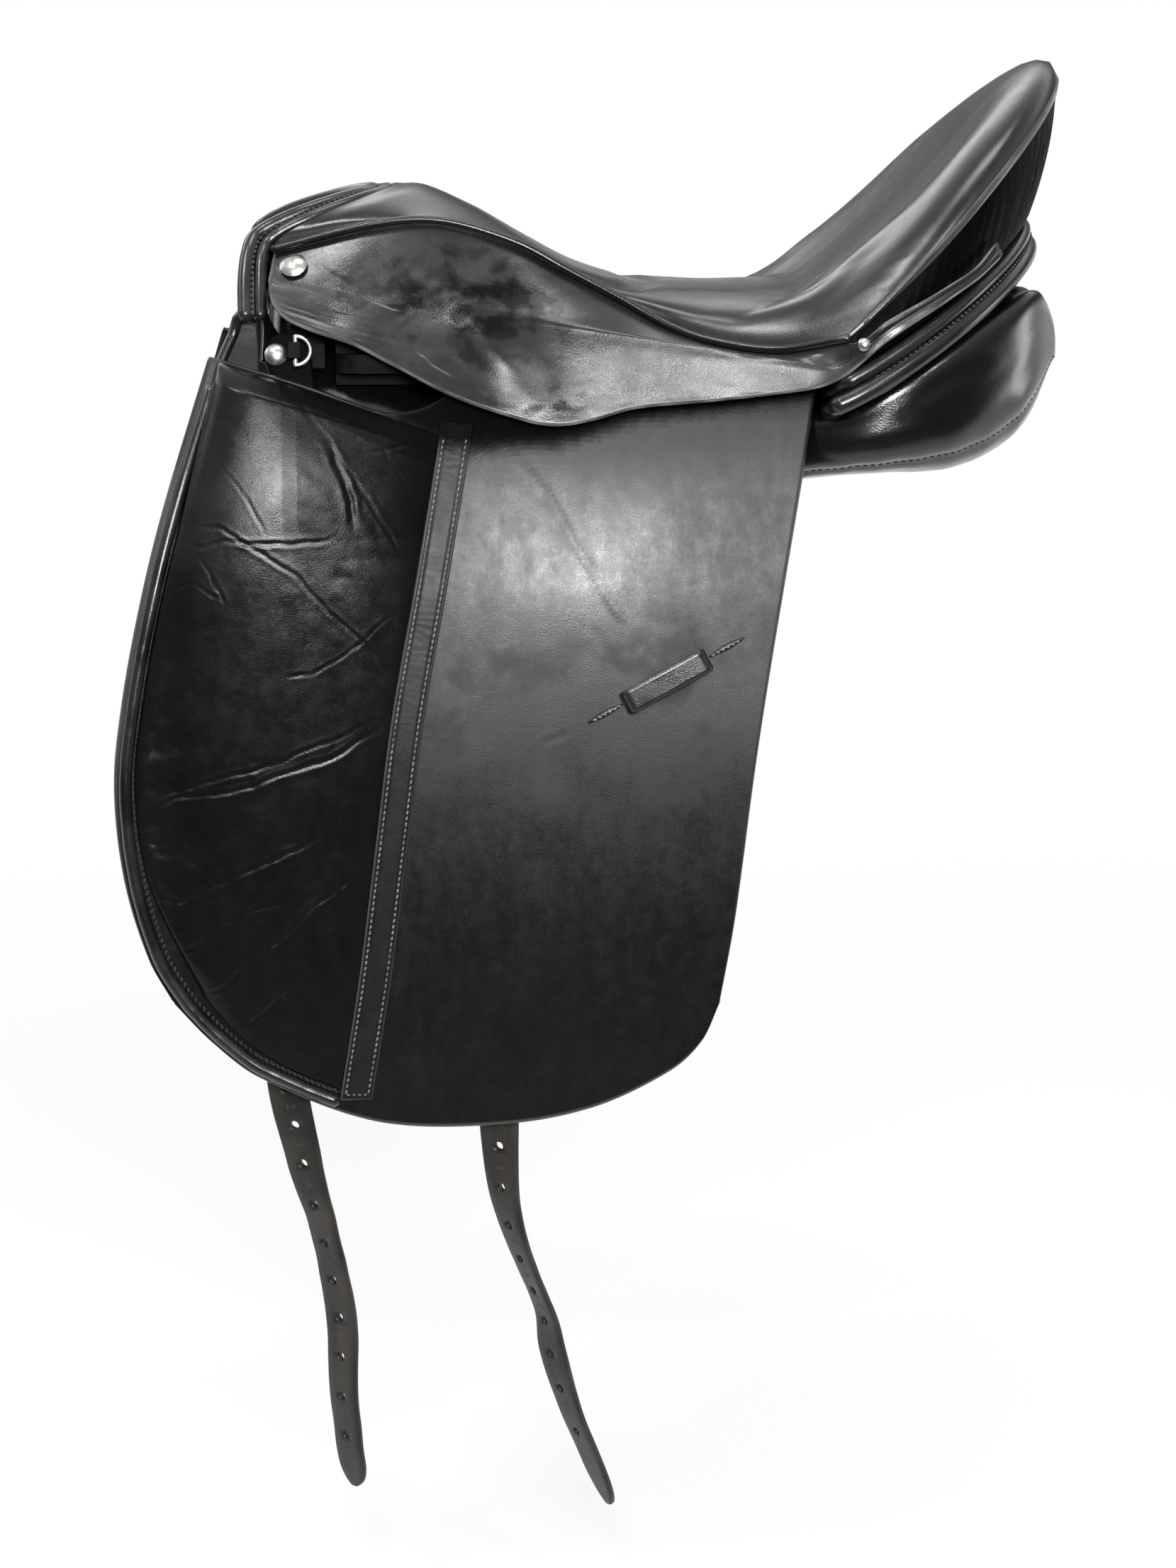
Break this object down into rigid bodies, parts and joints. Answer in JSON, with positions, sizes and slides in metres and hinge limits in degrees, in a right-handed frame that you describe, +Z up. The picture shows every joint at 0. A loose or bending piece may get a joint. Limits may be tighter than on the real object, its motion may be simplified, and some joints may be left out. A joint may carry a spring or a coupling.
{
  "type": "dressage saddle",
  "caption": "English dressage saddle in black leather: deep seat, long straight flaps with knee blocks, lifting skirts over stirrup bars, flocked panels and long girth straps.",
  "frame": {"origin": "on the centre plane at mid length, at the level of the gullet where the saddle rests on its rack", "axes": "+X to the rear (cantle), -Y to the near (left) side, +Z up"},
  "size_m": [0.526, 0.3572, 0.7911],
  "materials": {
    "black_leather": "polished black bridle leather",
    "seat_leather": "soft glossy black seat leather",
    "block_leather": "soft creased black leather",
    "panel_leather": "glossy black lining leather over wool flock",
    "strap_leather": "dull brown-black strap leather",
    "tree_wood": "laminated wood",
    "tree_steel": "black painted steel",
    "spring_steel": "spring steel",
    "nickel": "polished nickel plate",
    "webbing": "woven webbing",
    "foam": "latex foam"
  },
  "bodies": {
    "saddle": {"tree_frame": "tree_wood", "tree_side_left": "tree_wood", "tree_side_right": "tree_wood", "head_plate": "tree_steel", "spring_left": "spring_steel", "spring_right": "spring_steel", "seat_webbing": "webbing", "seat_foam": "foam", "seat_cover": "seat_leather", "seat_welt_left": "black_leather", "seat_welt_right": "black_leather", "pommel_roll": "black_leather", "panel_front_roll": "panel_leather", "arch_lining": "black_leather", "cantle_cover": "black_leather", "cantle_roll_upper": "black_leather", "cantle_roll_lower": "black_leather", "panel_left": "panel_leather", "panel_right": "panel_leather", "gullet_lining": "panel_leather", "sweat_flap_left": "black_leather", "sweat_flap_right": "black_leather", "skirt_margin_left": "black_leather", "skirt_margin_right": "black_leather", "flap_margin_left": "black_leather", "flap_margin_right": "black_leather", "point_cover_left": "black_leather", "point_cover_right": "black_leather", "stirrup_bar_left": "spring_steel", "stirrup_bar_right": "spring_steel", "bar_rivets": "spring_steel", "catch_pins": "spring_steel", "girth_web_left": "webbing", "girth_web_right": "webbing", "dee_studs": "nickel", "dee_clips": "nickel", "skirt_badges": "nickel", "skirt_nails": "nickel"},
    "flap_left": {"flap_left": "black_leather", "knee_block_left": "block_leather", "flap_strip_left": "black_leather", "flap_roll_left": "black_leather", "keeper_left": "black_leather"},
    "skirt_left": {"skirt_left": "black_leather"},
    "dee_ring_left": {"dee_ring_left": "nickel"},
    "bar_catch_left": {"bar_catch_left": "spring_steel"},
    "billet_front_left": {"billet_front_left": "strap_leather"},
    "billet_rear_left": {"billet_rear_left": "strap_leather"},
    "flap_right": {"flap_right": "black_leather", "knee_block_right": "block_leather", "flap_strip_right": "black_leather", "flap_roll_right": "black_leather", "keeper_right": "black_leather"},
    "skirt_right": {"skirt_right": "black_leather"},
    "dee_ring_right": {"dee_ring_right": "nickel"},
    "bar_catch_right": {"bar_catch_right": "spring_steel"},
    "billet_front_right": {"billet_front_right": "strap_leather"},
    "billet_rear_right": {"billet_rear_right": "strap_leather"}
  },
  "joints": [
    {"name": "flap_left_lift", "type": "hinge", "parent": "saddle", "child": "flap_left", "pos_m": [-0.205, -0.1074, 0.042], "axis": [-0.9969, 0.0286, 0.0729], "range_deg": [0, 90]},
    {"name": "skirt_left_lift", "type": "hinge", "parent": "saddle", "child": "skirt_left", "pos_m": [-0.16, -0.0825, 0.076], "axis": [-0.9684, 0.205, 0.142], "range_deg": [0, 90]},
    {"name": "dee_ring_left_swing", "type": "hinge", "parent": "saddle", "child": "dee_ring_left", "pos_m": [-0.1575, -0.10335, 0.04037], "axis": [0, -0.3746, -0.9272], "range_deg": [0, 60]},
    {"name": "bar_catch_left_flip", "type": "hinge", "parent": "saddle", "child": "bar_catch_left", "pos_m": [-0.071, -0.1002, 0.033], "axis": [0, -1, 0], "range_deg": [0, 80]},
    {"name": "flap_right_lift", "type": "hinge", "parent": "saddle", "child": "flap_right", "pos_m": [-0.205, 0.1074, 0.042], "axis": [0.9969, 0.0286, -0.0729], "range_deg": [0, 90]},
    {"name": "skirt_right_lift", "type": "hinge", "parent": "saddle", "child": "skirt_right", "pos_m": [-0.16, 0.0825, 0.076], "axis": [0.9684, 0.205, -0.142], "range_deg": [0, 90]},
    {"name": "dee_ring_right_swing", "type": "hinge", "parent": "saddle", "child": "dee_ring_right", "pos_m": [-0.1575, 0.10335, 0.04037], "axis": [0, -0.3746, 0.9272], "range_deg": [0, 60]},
    {"name": "bar_catch_right_flip", "type": "hinge", "parent": "saddle", "child": "bar_catch_right", "pos_m": [-0.071, 0.1002, 0.033], "axis": [0, -1, 0], "range_deg": [0, 80]},
    {"name": "billet_front_left_swing", "type": "hinge", "parent": "saddle", "child": "billet_front_left", "pos_m": [-0.155, -0.113, -0.001], "axis": [0, 1, 0], "range_deg": [-8, 8]},
    {"name": "billet_rear_left_swing", "type": "hinge", "parent": "saddle", "child": "billet_rear_left", "pos_m": [-0.044, -0.111, -0.003], "axis": [0, 1, 0], "range_deg": [-8, 8]},
    {"name": "billet_front_right_swing", "type": "hinge", "parent": "saddle", "child": "billet_front_right", "pos_m": [-0.155, 0.111, -0.0023], "axis": [0, 1, 0], "range_deg": [-8, 8]},
    {"name": "billet_rear_right_swing", "type": "hinge", "parent": "saddle", "child": "billet_rear_right", "pos_m": [-0.044, 0.111, -0.003], "axis": [0, 1, 0], "range_deg": [-8, 8]}
  ],
  "couplings": [
    {"joint": "skirt_left_lift", "follows": "flap_left_lift", "ratio": 1},
    {"joint": "skirt_right_lift", "follows": "flap_right_lift", "ratio": 1}
  ]
}
